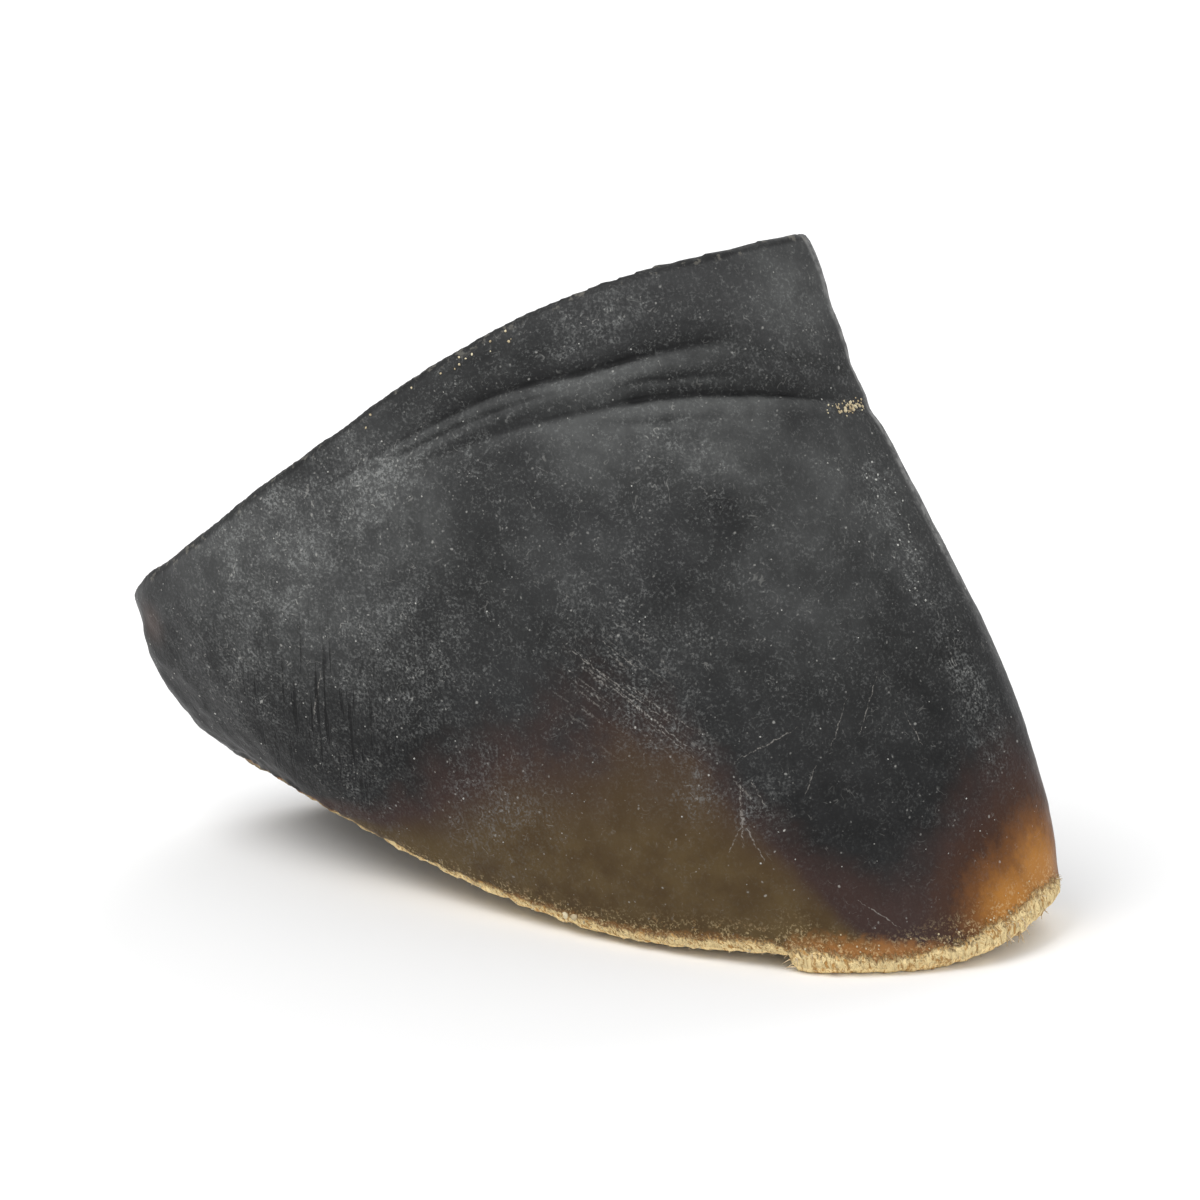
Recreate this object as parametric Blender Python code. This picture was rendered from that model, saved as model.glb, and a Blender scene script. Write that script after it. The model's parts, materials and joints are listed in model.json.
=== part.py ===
"""Cow hoof: the hollow horn capsule of one claw, standing on its sole.

+X runs from the heel to the toe, -Y faces the outer wall, +Z is up.
The origin is under the middle of the capsule, on the surface it stands on.
Every size is in metres.
"""

import math

import bmesh
import bpy
from mathutils import Vector

# Name, ground edge (x, y), top rim (x, y, z) and how far the wall bows out between them.
# The list starts at the ridge in front, follows the outer wall to the heel and returns on the inner wall.
STATIONS = (
    ("dorsal ridge", (0.0172, 0.0225), (-0.0120, 0.0260, 0.0740), 0.0016),
    ("outer shoulder", (0.0157, 0.0130), (-0.0155, 0.0200, 0.0742), 0.0013),
    ("outer toe", (0.0095, 0.0055), (-0.0220, 0.0145, 0.0733), 0.0013),
    ("outer front", (-0.0030, 0.0003), (-0.0310, 0.0113, 0.0707), 0.0018),
    ("outer middle", (-0.0190, 0.0010), (-0.0420, 0.0098, 0.0656), 0.0020),
    ("outer rear", (-0.0355, 0.0050), (-0.0550, 0.0095, 0.0568), 0.0020),
    ("outer heel", (-0.0515, 0.0105), (-0.0675, 0.0108, 0.0466), 0.0022),
    ("outer heel corner", (-0.0665, 0.0165), (-0.0790, 0.0143, 0.0370), 0.0024),
    ("heel tip", (-0.0770, 0.0255), (-0.0885, 0.0226, 0.0285), 0.0026),
    ("inner heel corner", (-0.0735, 0.0360), (-0.0860, 0.0318, 0.0275), 0.0024),
    ("inner heel", (-0.0610, 0.0415), (-0.0765, 0.0378, 0.0325), 0.0016),
    ("inner rear", (-0.0455, 0.0423), (-0.0640, 0.0408, 0.0402), 0.0004),
    ("inner groove", (-0.0300, 0.0393), (-0.0505, 0.0413, 0.0498), -0.0010),
    ("inner middle", (-0.0150, 0.0350), (-0.0375, 0.0393, 0.0585), -0.0014),
    ("inner front", (-0.0020, 0.0310), (-0.0260, 0.0360, 0.0660), -0.0012),
    ("inner shoulder", (0.0095, 0.0273), (-0.0170, 0.0308, 0.0717), -0.0004),
)
STATION_COUNT = len(STATIONS)
SAMPLES_PER_STATION = 6
RING_POINTS = STATION_COUNT * SAMPLES_PER_STATION

# The sole is flat in front and lifts towards the heel and a little at the toe.
HEEL_RISE = 0.0095
HEEL_RISE_LENGTH = 0.0345
HEEL_RISE_START = -0.0180
HEEL_RISE_SLANT = 1.0
TOE_RISE = 0.0030
TOE_RISE_LENGTH = 0.0110
TOE_RISE_START = 0.0060
SOLE_RINGS = (0.0, 0.22, 0.45, 0.70)
GROUND_EDGE_ROUNDING = 0.0008

# The ridge leans out low down and in high up, and the wall is thicker near the ground and at the ridge.
RIDGE_SWAY = 0.0016
RIDGE_SWAY_REACH = 2.2
RIM_THICKNESS = 0.0024
GROUND_THICKNESS = 0.0056
RIDGE_THICKENING = 0.35
STEEPEST_INSET = 0.6
RIM_ROUNDING = 0.0010
LOWER_WALL_ROWS = 11
CAVITY_FLOOR_SHARE = 0.105
CAVITY_ROWS = 9
FLOOR_RINGS = (0.30, 0.60)
FLOOR_SAG = 0.0012
CAVITY_END_SHARE = 0.42

# Growth rings: share of the wall's height at the ridge and from the outer front on, depth, half width.
GROWTH_RINGS = (
    (0.735, 0.845, 0.00060, 0.016),
    (0.810, 0.895, 0.00048, 0.013),
    (0.900, 0.948, 0.00018, 0.010),
)
ROWS_ACROSS_RING = (-1.5, -0.6, 0.0, 0.6, 1.5)
RING_TURN_STATIONS = 2.6
RING_STRONGEST_STATION = 3.0
RING_STRONG_STATIONS = 1.0
RING_FADE_STATIONS = 2.2
RING_FAINTEST = 0.14
RIDGE_NOTCH_STRENGTH = 1.1
RIDGE_NOTCH_STATIONS = 1.0
RING_LEDGE = 0.00045

# The ground edge carries a frayed lip from the ridge to a break in the outer front.
LIP_STATIONS = 3.25
LIP_FADE_STATIONS = 1.2
LIP_PROUD = 0.0007
LIP_SHARE = 0.045

HORN_COLOUR = (0.028, 0.028, 0.030, 1.0)
HORN_ROUGHNESS = 0.46


def catmull_rom(before, start, end, after, part):
    """The point that far along a smooth curve from start to end."""
    return 0.5 * (
        2.0 * start
        + (end - before) * part
        + (2.0 * before - 5.0 * start + 4.0 * end - after) * part**2
        + (3.0 * start - before - 3.0 * end + after) * part**3
    )


def around(values, station):
    """One value for each station, read smoothly at any place around the hoof."""
    index = math.floor(station)
    near = [values[(index + step) % STATION_COUNT] for step in (-1, 0, 1, 2)]
    return catmull_rom(*near, station - index)


def smooth_step(value):
    value = min(max(value, 0.0), 1.0)
    return value * value * (3.0 - 2.0 * value)


def sole_height(x, y):
    """How far the underside stands off the surface at this place."""
    behind = max(0.0, HEEL_RISE_START - HEEL_RISE_SLANT * y - x)
    ahead = max(0.0, x - TOE_RISE_START)
    return HEEL_RISE * (behind / HEEL_RISE_LENGTH) ** 2 + TOE_RISE * (ahead / TOE_RISE_LENGTH) ** 2


def ground_point(station):
    flat = around([Vector(entry[1]) for entry in STATIONS], station)
    return Vector((flat.x, flat.y, sole_height(flat.x, flat.y)))


def rim_point(station):
    return around([Vector(entry[2]) for entry in STATIONS], station)


def plain_wall_point(station, share):
    """On the straight line of horn tubules from the ground edge, share 0, to the rim, share 1."""
    return ground_point(station).lerp(rim_point(station), share)


def outward(station, share):
    """Unit vector that points away from the wall."""
    step = 0.05
    along = plain_wall_point(station + step, share) - plain_wall_point(station - step, share)
    up = rim_point(station) - ground_point(station)
    return up.cross(along).normalized()


def stations_from(station, centre):
    """Distance around the hoof, in stations, the shorter way."""
    apart = abs(station - centre) % STATION_COUNT
    return min(apart, STATION_COUNT - apart)


def ring_height(ring, station):
    """Share of the wall's height at which a growth ring runs."""
    at_ridge, at_front = ring[:2]
    return at_ridge + (at_front - at_ridge) * smooth_step(stations_from(station, 0.0) / RING_TURN_STATIONS)


def ring_relief(station, share):
    """Growth rings: grooves below the rim, with a ledge under the lowest and a notch in the ridge."""
    past_strong = stations_from(station, RING_STRONGEST_STATION) - RING_STRONG_STATIONS
    on_wall = 1.0 - smooth_step(past_strong / RING_FADE_STATIONS)
    on_ridge = 1.0 - smooth_step(stations_from(station, 0.0) / RIDGE_NOTCH_STATIONS)
    strength = max(RING_FAINTEST + (1.0 - RING_FAINTEST) * on_wall, RIDGE_NOTCH_STRENGTH * on_ridge)
    lowest = GROWTH_RINGS[0]
    above = (share - ring_height(lowest, station)) / (2.0 * lowest[3])
    relief = RING_LEDGE * (1.0 - smooth_step(above + 0.5))
    for ring in GROWTH_RINGS:
        depth, half_width = ring[2:]
        relief -= depth * math.exp(-(((share - ring_height(ring, station)) / half_width) ** 2))
    return relief * strength


def lip_relief(station, share):
    """The lip that stands out along the ground edge on the outer side of the toe."""
    if station > LIP_STATIONS:
        return 0.0
    return LIP_PROUD * smooth_step(station / LIP_FADE_STATIONS) * (1.0 - smooth_step(share / LIP_SHARE - 0.5))


def wall_form(station, share):
    """How far the wall's broad shape stands off the straight wall line."""
    bow = around([entry[3] for entry in STATIONS], station) * 4.0 * share * (1.0 - share)
    at_ridge = 1.0 - smooth_step(stations_from(station, 0.0) / RIDGE_SWAY_REACH)
    sway = RIDGE_SWAY * at_ridge * math.sin(2.0 * math.pi * share)
    return bow + sway


def wall_point(station, share):
    stand_off = wall_form(station, share) + ring_relief(station, share) + lip_relief(station, share)
    return plain_wall_point(station, share) + outward(station, share) * stand_off


def ring_stations():
    return [number / SAMPLES_PER_STATION for number in range(RING_POINTS)]


def spine_ends(ring):
    """Ends of the line along the middle of a ring, from the toe to the heel."""
    centre = sum(ring, Vector()) / len(ring)
    toe = ring[0].lerp(centre, CAVITY_END_SHARE)
    heel = ring[len(ring) // 2].lerp(centre, CAVITY_END_SHARE)
    return toe, heel


def spine_point(ring, point):
    """The place on the middle line that is nearest to a point of the ring."""
    toe, heel = spine_ends(ring)
    run = heel - toe
    part = (point - toe).dot(run) / run.length_squared
    return toe + run * min(max(part, 0.0), 1.0)


def inset_ring(ring, distance):
    return [point + (spine_point(ring, point) - point).normalized() * distance for point in ring]


def shrunk_ring(ring, share, lift):
    """The ring drawn that share of the way to its middle line, and moved up by lift."""
    return [point.lerp(spine_point(ring, point), share) + Vector((0.0, 0.0, lift)) for point in ring]


def wall_shares(station):
    """Heights of the outer face's rows: even on the lower wall, and along each growth ring above it."""
    ringed = [
        ring_height(ring, station) + across * ring[3] for ring in GROWTH_RINGS for across in ROWS_ACROSS_RING
    ]
    lip = [LIP_SHARE * 0.25, LIP_SHARE * 0.7, LIP_SHARE * 1.5]
    lower = [lip[-1] + (ringed[0] - lip[-1]) * row / LOWER_WALL_ROWS for row in range(1, LOWER_WALL_ROWS)]
    return lip + lower + ringed + [1.0]


def outer_rings():
    """The outer face from the ground edge to the rim."""
    columns = [[wall_point(station, share) for share in wall_shares(station)] for station in ring_stations()]
    return [list(ring) for ring in zip(*columns)]


def rim_rings(outer_rim, inner_rim):
    """Two rings that round the rim over from its outer to its inner edge."""
    rings = []
    for share in (0.25, 0.75):
        lift = Vector((0.0, 0.0, RIM_ROUNDING * math.sin(math.pi * share) ** 0.5))
        rings.append([a.lerp(b, share) + lift for a, b in zip(outer_rim, inner_rim)])
    return rings


def wall_thickness(station, share):
    depth = smooth_step(1.0 - share)
    at_ridge = 1.0 - smooth_step(stations_from(station, 0.0))
    return (RIM_THICKNESS + (GROUND_THICKNESS - RIM_THICKNESS) * depth) * (1.0 + RIDGE_THICKENING * at_ridge)


def cavity_ring(share):
    """The inner face at one height: the wall's broad shape moved in by the wall's thickness."""
    normals = [outward(station, share) for station in ring_stations()]
    wall = [
        plain_wall_point(station, share) + normal * wall_form(station, share)
        for station, normal in zip(ring_stations(), normals)
    ]
    inner = []
    for station, normal, point in zip(ring_stations(), normals, wall):
        inward = (spine_point(wall, point) - point).normalized()
        facing = max(-inward.dot(normal), STEEPEST_INSET)
        inner.append(point + inward * wall_thickness(station, share) / facing)
    return inner


def cavity_rings():
    """The inner face from the rim down to the floor of the hollow."""
    drop = (1.0 - CAVITY_FLOOR_SHARE) / CAVITY_ROWS
    return [cavity_ring(1.0 - drop * row) for row in range(CAVITY_ROWS + 1)]


def floor_rings(lowest):
    return [shrunk_ring(lowest, share, -FLOOR_SAG * smooth_step(share)) for share in FLOOR_RINGS]


def sole_rings():
    """The underside, from its innermost ring out to the ground edge."""
    ground = [ground_point(station) for station in ring_stations()]
    edge = inset_ring(ground, GROUND_EDGE_ROUNDING)
    rings = [shrunk_ring(edge, share, 0.0) for share in SOLE_RINGS]
    return [[Vector((p.x, p.y, sole_height(p.x, p.y))) for p in ring] for ring in rings[::-1]]


def stitch(mesh, lower, upper):
    """Quads between two rings of vertices."""
    count = len(lower)
    for number in range(count):
        after = (number + 1) % count
        mesh.faces.new((lower[number], lower[after], upper[after], upper[number]))


def close_across(mesh, ring, flip):
    """Closes a ring with a strip of quads from its outer side to its inner side."""
    half = len(ring) // 2
    for number in range(half):
        corners = [ring[number], ring[number + 1], ring[-number - 1], ring[-number]]
        if number == 0:
            corners = [ring[0], ring[1], ring[-1]]
        if number == half - 1:
            corners = [ring[number], ring[half], ring[-number]]
        mesh.faces.new(corners[::-1] if flip else corners)


def hoof_rings():
    """Every ring of the capsule, from the middle of the sole over the rim to the middle of the hollow."""
    outer = outer_rings()
    cavity = cavity_rings()
    rim = rim_rings(outer[-1], cavity[0])
    return sole_rings() + outer + rim + cavity + floor_rings(cavity[-1])


def centred(rings):
    """The rings moved so that the origin lies under the middle of their box, at its base."""
    points = [point for ring in rings for point in ring]
    low = Vector([min(point[axis] for point in points) for axis in range(3)])
    high = Vector([max(point[axis] for point in points) for axis in range(3)])
    base = Vector(((low.x + high.x) / 2.0, (low.y + high.y) / 2.0, low.z))
    return [[point - base for point in ring] for ring in rings]


def horn_material():
    material = bpy.data.materials.new("black_horn")
    material.use_nodes = True
    shader = material.node_tree.nodes["Principled BSDF"]
    shader.inputs["Base Color"].default_value = HORN_COLOUR
    shader.inputs["Roughness"].default_value = HORN_ROUGHNESS
    shader.inputs["Metallic"].default_value = 0.0
    return material


def make_hoof():
    mesh = bmesh.new()
    rings = [[mesh.verts.new(point) for point in ring] for ring in centred(hoof_rings())]
    for lower, upper in zip(rings, rings[1:]):
        stitch(mesh, lower, upper)
    close_across(mesh, rings[0], flip=True)
    close_across(mesh, rings[-1], flip=False)
    bmesh.ops.recalc_face_normals(mesh, faces=mesh.faces)
    data = bpy.data.meshes.new("hoof")
    mesh.to_mesh(data)
    mesh.free()
    data.shade_smooth()
    data.materials.append(horn_material())
    hoof = bpy.data.objects.new("hoof", data)
    bpy.context.scene.collection.objects.link(hoof)
    return hoof


def main():
    for leftover in list(bpy.data.objects):
        bpy.data.objects.remove(leftover)
    make_hoof()


main()
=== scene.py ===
"""Cow hoof: weathered black horn with a worn, fibrous ground edge, on a pale studio floor."""

import json
import math
import random

import bpy
import numpy as np
from mathutils import Matrix, Vector, kdtree

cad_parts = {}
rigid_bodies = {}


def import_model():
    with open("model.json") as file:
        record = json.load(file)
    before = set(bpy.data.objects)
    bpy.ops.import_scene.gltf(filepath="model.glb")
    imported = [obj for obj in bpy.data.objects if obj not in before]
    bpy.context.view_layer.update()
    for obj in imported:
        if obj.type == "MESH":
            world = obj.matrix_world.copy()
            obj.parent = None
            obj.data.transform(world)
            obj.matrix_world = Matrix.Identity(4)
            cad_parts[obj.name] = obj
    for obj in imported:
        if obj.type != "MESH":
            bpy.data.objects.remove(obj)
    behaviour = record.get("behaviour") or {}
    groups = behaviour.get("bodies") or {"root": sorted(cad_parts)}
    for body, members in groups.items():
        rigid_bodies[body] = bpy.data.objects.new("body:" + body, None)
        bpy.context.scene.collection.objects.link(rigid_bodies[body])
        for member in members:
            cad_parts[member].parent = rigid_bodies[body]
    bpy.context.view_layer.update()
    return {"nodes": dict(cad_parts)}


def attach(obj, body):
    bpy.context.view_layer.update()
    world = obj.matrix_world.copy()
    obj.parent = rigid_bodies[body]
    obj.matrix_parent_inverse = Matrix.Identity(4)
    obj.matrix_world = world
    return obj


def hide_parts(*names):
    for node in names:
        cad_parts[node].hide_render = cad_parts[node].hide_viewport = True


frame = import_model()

# The wall's drawing, in metres: ground edge (x, y), top rim (x, y, z) and bow of each station,
# from the ridge along the outer wall to the heel and back on the inner wall.
WALL_DATUM = np.array([-0.03551, 0.02078, 0.0])
STATIONS = np.array([
    (0.0172, 0.0225, -0.0120, 0.0260, 0.0740, 0.0016),
    (0.0157, 0.0130, -0.0155, 0.0200, 0.0742, 0.0013),
    (0.0095, 0.0055, -0.0220, 0.0145, 0.0733, 0.0013),
    (-0.0030, 0.0003, -0.0310, 0.0113, 0.0707, 0.0018),
    (-0.0190, 0.0010, -0.0420, 0.0098, 0.0656, 0.0020),
    (-0.0355, 0.0050, -0.0550, 0.0095, 0.0568, 0.0020),
    (-0.0515, 0.0105, -0.0675, 0.0108, 0.0466, 0.0022),
    (-0.0665, 0.0165, -0.0790, 0.0143, 0.0370, 0.0024),
    (-0.0770, 0.0255, -0.0885, 0.0226, 0.0285, 0.0026),
    (-0.0735, 0.0360, -0.0860, 0.0318, 0.0275, 0.0024),
    (-0.0610, 0.0415, -0.0765, 0.0378, 0.0325, 0.0016),
    (-0.0455, 0.0423, -0.0640, 0.0408, 0.0402, 0.0004),
    (-0.0300, 0.0393, -0.0505, 0.0413, 0.0498, -0.0010),
    (-0.0150, 0.0350, -0.0375, 0.0393, 0.0585, -0.0014),
    (-0.0020, 0.0310, -0.0260, 0.0360, 0.0660, -0.0012),
    (0.0095, 0.0273, -0.0170, 0.0308, 0.0717, -0.0004),
])
STATION_COUNT = len(STATIONS)
HEEL_RISE, HEEL_RISE_LENGTH, HEEL_RISE_START = 0.0095, 0.0345, -0.0180
TOE_RISE, TOE_RISE_LENGTH, TOE_RISE_START = 0.0030, 0.0110, 0.0060
RIDGE_SWAY, RIDGE_SWAY_REACH = 0.0016, 2.2
LOWEST_RING_AT_RIDGE, LOWEST_RING_AT_FRONT, RING_TURN = 0.735, 0.845, 2.6

SKIN_VOXEL = 0.00060
# How deep under the wall's face the hollow's finish starts.
WALL_DEPTH = 0.0013
HEEL_STATION = 8.3
# The pale lip runs from the toe to its break, and the chips behind the break end at the second station.
LIP_BREAK_STATION, LAST_CHIP_STATION = 3.25, 4.6
# The pale line on the ridge, pale dust with a painted rim highlight, and the dust beside it.
RIDGE_LINE_STATION, RIDGE_DUST_STATION, RIDGE_DUST = 0.16, 0.75, 0.55

# Heights above the ground edge, by station: the pale band and the honey, brown and olive zones.
PALE_BAND = ((0.0, 0.0016), (0.4, 0.0026), (0.74, 0.0031), (1.1, 0.0028), (1.66, 0.0027), (2.08, 0.0025),
             (2.42, 0.0021), (2.72, 0.0021), (2.94, 0.0026), (3.06, 0.0032), (3.20, 0.0032), (3.26, 0.0025),
             (3.6, 0.0026), (4.0, 0.0023), (4.9, 0.0019), (5.4, 0.0015), (6.0, 0.0010), (7.0, 0.0004),
             (9.0, 0.0003), (11.0, 0.0009), (14.0, 0.0012), (16.0, 0.0016))
HONEY_ZONE = ((0.0, 0.0008), (1.2, 0.0030), (1.9, 0.0022), (2.2, 0.0034), (2.6, 0.0042), (3.0, 0.0046),
              (3.20, 0.0044), (3.26, 0.0026), (3.6, 0.0030), (5.0, 0.0022), (6.0, 0.0008), (16.0, 0.0008))
BROWN_ZONE = ((0.0, 0.0170), (0.6, 0.0215), (1.0, 0.0205), (1.4, 0.0180), (1.7, 0.0155), (2.0, 0.0130),
              (2.4, 0.0120), (2.76, 0.0145), (3.0, 0.0190), (3.2, 0.0235), (3.5, 0.0300), (3.9, 0.0320),
              (4.4, 0.0295), (4.75, 0.0260), (5.3, 0.0185), (5.7, 0.0125), (6.2, 0.0060), (7.0, 0.0010),
              (9.0, 0.0006), (12.0, 0.0100), (14.5, 0.0120), (16.0, 0.0140))
OLIVE_ZONE = ((0.0, 0.0002), (2.40, 0.0005), (2.60, 0.0040), (2.76, 0.0065), (3.0, 0.0120), (3.2, 0.0165),
              (3.5, 0.0230), (3.9, 0.0240), (4.4, 0.0212), (4.75, 0.0182), (5.3, 0.0122), (5.7, 0.0078),
              (6.2, 0.0032), (6.8, 0.0005), (9.0, 0.0003), (12.0, 0.0050), (14.5, 0.0050), (16.0, 0.0002))

# Grooves under the rim: share of the wall's height and strength by station, how far the dark
# reaches above the groove, and the ledge below it, in metres.
GROOVES = (
    (((1.0, 0.880), (2.0, 0.890), (2.6, 0.894), (3.3, 0.895), (3.5, 0.897), (3.9, 0.906), (4.2, 0.915),
      (5.0, 0.922)),
     ((1.7, 0.0), (2.3, 0.6), (3.0, 1.0), (4.3, 0.95), (5.0, 0.5), (6.0, 0.0)), 0.0024, 0.0032),
    (((3.0, 0.868), (3.5, 0.876), (3.9, 0.885), (4.2, 0.890), (4.5, 0.895), (5.5, 0.905)),
     ((3.5, 0.0), (4.0, 0.5), (4.7, 0.6), (5.5, 0.0)), 0.0010, 0.0014),
    (((0.0, 0.755), (1.0, 0.775), (1.4, 0.791), (1.9, 0.810), (2.4, 0.825), (2.9, 0.835), (3.2, 0.839),
      (3.6, 0.843), (4.2, 0.856), (5.0, 0.875)),
     ((0.6, 0.0), (1.1, 0.45), (1.8, 0.9), (3.0, 1.0), (3.3, 0.6), (4.2, 0.45), (5.0, 0.0)), 0.0032, 0.0026),
    (((1.9, 0.836), (2.4, 0.851), (2.9, 0.860), (3.4, 0.862)),
     ((1.9, 0.0), (2.3, 0.8), (3.0, 0.9), (3.4, 0.0)), 0.0012, 0.0008),
    (((1.5, 0.772), (2.8, 0.800), (3.2, 0.812), (3.6, 0.830), (4.1, 0.845)),
     ((2.3, 0.0), (2.8, 0.45), (3.2, 0.45), (3.7, 0.0)), 0.0010, 0.0014),
)
GROOVE_DEPTH = 0.00060
# The three grooves with a sharp foot: name of their line on the mesh and number in the table.
CRISP_GROOVES = (("upper_groove", 0), ("double_groove", 1), ("lower_groove", 2))

# Single values that the materials read from the mesh.
FACE_MEASURES = (
    "rise", "drop", "growth", "inward", "outer_side", "ridge",
    "band", "honey", "brown", "olive", "amber", "groove", "ledge",
    "haze_and_sheen", "dusty", "blotch", "wrinkled", "scuffed", "heel_brown", "hollow_rust",
)

# How finely a point is looked up on the wall, and in how many steps a region's weight runs out.
LOOKUP_STATIONS, LOOKUP_RISES, LOOKUP_ROUNDS = 0.1, 26, 5
WEIGHT_STEPS = 40
MERGE_DISTANCE = 0.00001

SEED = 23


def around(values, station):
    """Values given for each station, read smoothly at any places round the hoof."""
    index = np.floor(station).astype(int)
    part = (station - index)[:, None]
    before, start, end, after = (values[(index + step) % STATION_COUNT] for step in (-1, 0, 1, 2))
    return 0.5 * (
        2.0 * start
        + (end - before) * part
        + (2.0 * before - 5.0 * start + 4.0 * end - after) * part**2
        + (3.0 * start - before - 3.0 * end + after) * part**3
    )


def smooth(value, start=0.0, end=1.0):
    """0 at start, 1 at end, and an even curve between."""
    value = np.clip((np.asarray(value, float) - start) / (end - start), 0.0, 1.0)
    return value * value * (3.0 - 2.0 * value)


def wall_ends(station):
    """Ground edge and rim points at these places round the hoof."""
    drawn = around(STATIONS, station)
    x, y = drawn[:, 0], drawn[:, 1]
    behind = np.maximum(0.0, HEEL_RISE_START - y - x) / HEEL_RISE_LENGTH
    ahead = np.maximum(0.0, x - TOE_RISE_START) / TOE_RISE_LENGTH
    ground = np.column_stack([x, y, HEEL_RISE * behind**2 + TOE_RISE * ahead**2])
    return ground - WALL_DATUM, drawn[:, 2:5] - WALL_DATUM, drawn[:, 5]


def from_ridge(station):
    """How many stations each place is from the ridge, the shorter way round."""
    apart = np.mod(station, STATION_COUNT)
    return np.minimum(apart, STATION_COUNT - apart)


def wall_surface(station, share):
    """Points on the outer face of the wall and its outward directions there."""
    ground, rim, bow = wall_ends(station)
    after, before = wall_ends(station + 0.05), wall_ends(station - 0.05)
    high = share[:, None]
    along = (after[0] - before[0]) * (1.0 - high) + (after[1] - before[1]) * high
    normal = np.cross(rim - ground, along)
    normal /= np.linalg.norm(normal, axis=1)[:, None]
    sway = RIDGE_SWAY * (1.0 - smooth(from_ridge(station) / RIDGE_SWAY_REACH)) * np.sin(2.0 * np.pi * share)
    form = bow * 4.0 * share * (1.0 - share) + sway
    return ground * (1.0 - high) + rim * high + normal * form[:, None], normal


def placed(station, share):
    """One point of the wall and its outward direction, as vectors."""
    point, normal = wall_surface(np.array([station], float), np.array([share], float))
    return Vector(point[0]), Vector(normal[0])


def find_on_wall(points):
    """Station and share of the wall's height nearest to each point."""
    stations, rises = np.arange(0.0, STATION_COUNT, LOOKUP_STATIONS), np.linspace(0.0, 1.0, LOOKUP_RISES)
    grid_station, grid_share = np.meshgrid(stations, rises)
    grid_station, grid_share = grid_station.ravel(), grid_share.ravel()
    samples = wall_surface(grid_station, grid_share)[0]
    tree = kdtree.KDTree(len(samples))
    for number, sample in enumerate(samples):
        tree.insert(sample, number)
    tree.balance()
    nearest = np.array([tree.find(point)[1] for point in points])
    station, share = grid_station[nearest], grid_share[nearest]
    step = 0.01
    for _ in range(LOOKUP_ROUNDS):
        here = wall_surface(station, share)[0]
        across = (wall_surface(station + step, share)[0] - here) / step
        upward = (wall_surface(station, share + step)[0] - here) / step
        gap = points - here
        aa, bb, ab = (across**2).sum(1), (upward**2).sum(1), (across * upward).sum(1)
        ga, gb = (gap * across).sum(1), (gap * upward).sum(1)
        whole = aa * bb - ab**2
        station = station + np.clip((ga * bb - gb * ab) / whole, -0.1, 0.1)
        share = np.clip(share + np.clip((gb * aa - ga * ab) / whole, -0.05, 0.05), 0.0, 1.0)
    return np.mod(station, STATION_COUNT), share


def read_table(table, station):
    """A table's value at each station, even between its rows."""
    places, heights = zip(*table)
    return np.interp(station, places, heights)


def only(piece):
    """Makes this piece the one that the next operators work on."""
    bpy.ops.object.select_all(action="DESELECT")
    piece.select_set(True)
    bpy.context.view_layer.objects.active = piece


def apply_modifier(piece, name, kind, **settings):
    only(piece)
    modifier = piece.modifiers.new(name, kind)
    for key, value in settings.items():
        setattr(modifier, key, value)
    bpy.ops.object.modifier_apply(modifier=modifier.name)


def copied_capsule():
    """The capsule's own solid as an even skin that takes fine relief."""
    only(frame["nodes"]["hoof"])
    bpy.ops.object.duplicate()
    horn = bpy.context.active_object
    horn.name = horn.data.name = "horn_capsule"
    bpy.ops.object.parent_clear(type="CLEAR_KEEP_TRANSFORM")
    bpy.ops.object.mode_set(mode="EDIT")
    bpy.ops.mesh.select_all(action="SELECT")
    bpy.ops.mesh.remove_doubles(threshold=MERGE_DISTANCE)
    bpy.ops.mesh.tris_convert_to_quads()
    bpy.ops.object.mode_set(mode="OBJECT")
    apply_modifier(horn, "rounded facets", "SUBSURF", levels=1, render_levels=1)
    apply_modifier(horn, "even skin", "REMESH", mode="VOXEL", voxel_size=SKIN_VOXEL, use_smooth_shade=True)
    apply_modifier(horn, "skin polish", "SMOOTH", factor=0.5, iterations=4)
    horn.data.materials.clear()
    return horn


def vertex_places(piece):
    count = len(piece.data.vertices)
    places, normals = np.zeros(count * 3), np.zeros(count * 3)
    piece.data.vertices.foreach_get("co", places)
    piece.data.vertices.foreach_get("normal", normals)
    return places.reshape(-1, 3), normals.reshape(-1, 3)


def distance(places, centre):
    return np.linalg.norm(places - np.array(centre), axis=1)


def strongest_spot(places, spots):
    """The highest of several soft round spots at each place."""
    return np.maximum.reduce([strength * smooth(distance(places, centre) / radius, 1.0, 0.0)
                              for centre, radius, strength in spots])


def trail(places, start, end, radius, strength):
    """A soft trail between two points."""
    run = end - start
    part = np.clip((places - start) @ run / (run @ run), 0.0, 1.0)
    away = np.linalg.norm(places - start - part[:, None] * run, axis=1)
    return strength * (0.45 + 0.55 * part) * smooth(away / radius, 1.0, 0.0)


def groove_marks(field):
    """How deep each place lies in the dark of a groove, and on the smooth ledge under one."""
    length = field["rise"] + field["drop"]
    dark, ledge = np.zeros(len(length)), np.zeros(len(length))
    for path, strength, above, below in GROOVES:
        away = (field["share"] - read_table(path, field["station"])) * length
        strong = read_table(strength, field["station"]) * (1.0 - field["inner"])
        dark = np.maximum(dark, strong * smooth(away, above, 0.0) * smooth(away, -0.0007, 0.0002))
        ledge = np.maximum(ledge, strong * smooth(away, -below, -0.0008) * smooth(away, 0.0, -0.0006))
    return dark, ledge


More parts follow.
